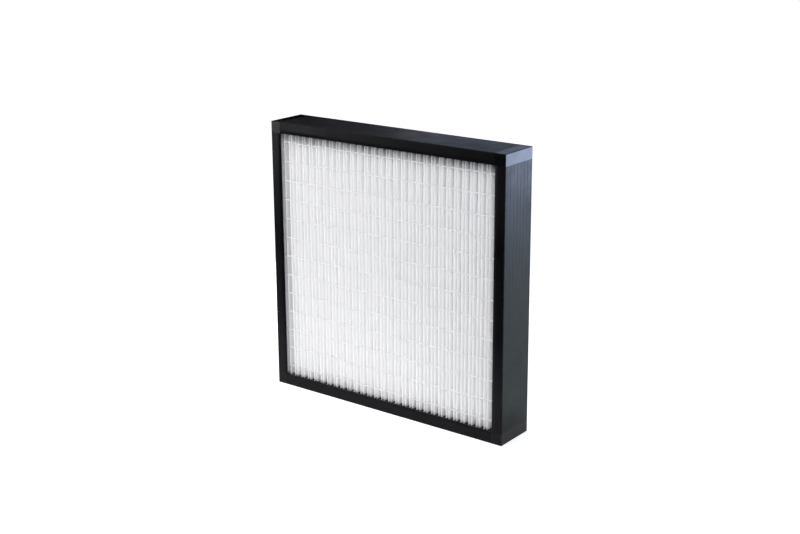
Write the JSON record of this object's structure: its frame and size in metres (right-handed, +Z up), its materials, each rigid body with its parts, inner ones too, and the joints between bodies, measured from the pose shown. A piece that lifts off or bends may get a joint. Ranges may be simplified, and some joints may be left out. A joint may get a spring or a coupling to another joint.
{
  "type": "pleated panel air filter",
  "caption": "Square pleated panel air filter: white folded media held by rows of adhesive beads in a black hollow-channel plastic frame with plug-in corner blocks.",
  "frame": {"origin": "on the ground under the middle of the filter: centre of the width and of the depth, at the lowest face", "axes": "+X to the right across the face, +Y from the front face to the back face, +Z up, along the pleats"},
  "size_m": [0.592, 0.096, 0.592],
  "materials": {
    "frame_plastic": "extruded black plastic, satin, fine lines along its length",
    "corner_plastic": "moulded black plastic, smooth satin",
    "filter_media": "white glass-fibre paper, matt and fibrous",
    "adhesive": "milky hot-melt adhesive, glossy",
    "sealant": "cast black polyurethane, slightly glossy"
  },
  "bodies": {
    "root": {"profile_top": "frame_plastic", "profile_bottom": "frame_plastic", "profile_left": "frame_plastic", "profile_right": "frame_plastic", "corner_top_left": "corner_plastic", "corner_top_right": "corner_plastic", "corner_bottom_left": "corner_plastic", "corner_bottom_right": "corner_plastic", "media_pack": "filter_media", "potting_top": "sealant", "potting_bottom": "sealant", "potting_left": "sealant", "potting_right": "sealant", "bead_front_01": "adhesive", "bead_front_02": "adhesive", "bead_front_03": "adhesive", "bead_front_04": "adhesive", "bead_front_05": "adhesive", "bead_front_06": "adhesive", "bead_front_07": "adhesive", "bead_front_08": "adhesive", "bead_front_09": "adhesive", "bead_front_10": "adhesive", "bead_front_11": "adhesive", "bead_front_12": "adhesive", "bead_front_13": "adhesive", "bead_back_01": "adhesive", "bead_back_02": "adhesive", "bead_back_03": "adhesive", "bead_back_04": "adhesive", "bead_back_05": "adhesive", "bead_back_06": "adhesive", "bead_back_07": "adhesive", "bead_back_08": "adhesive", "bead_back_09": "adhesive", "bead_back_10": "adhesive", "bead_back_11": "adhesive", "bead_back_12": "adhesive", "bead_back_13": "adhesive"}
  },
  "joints": []
}
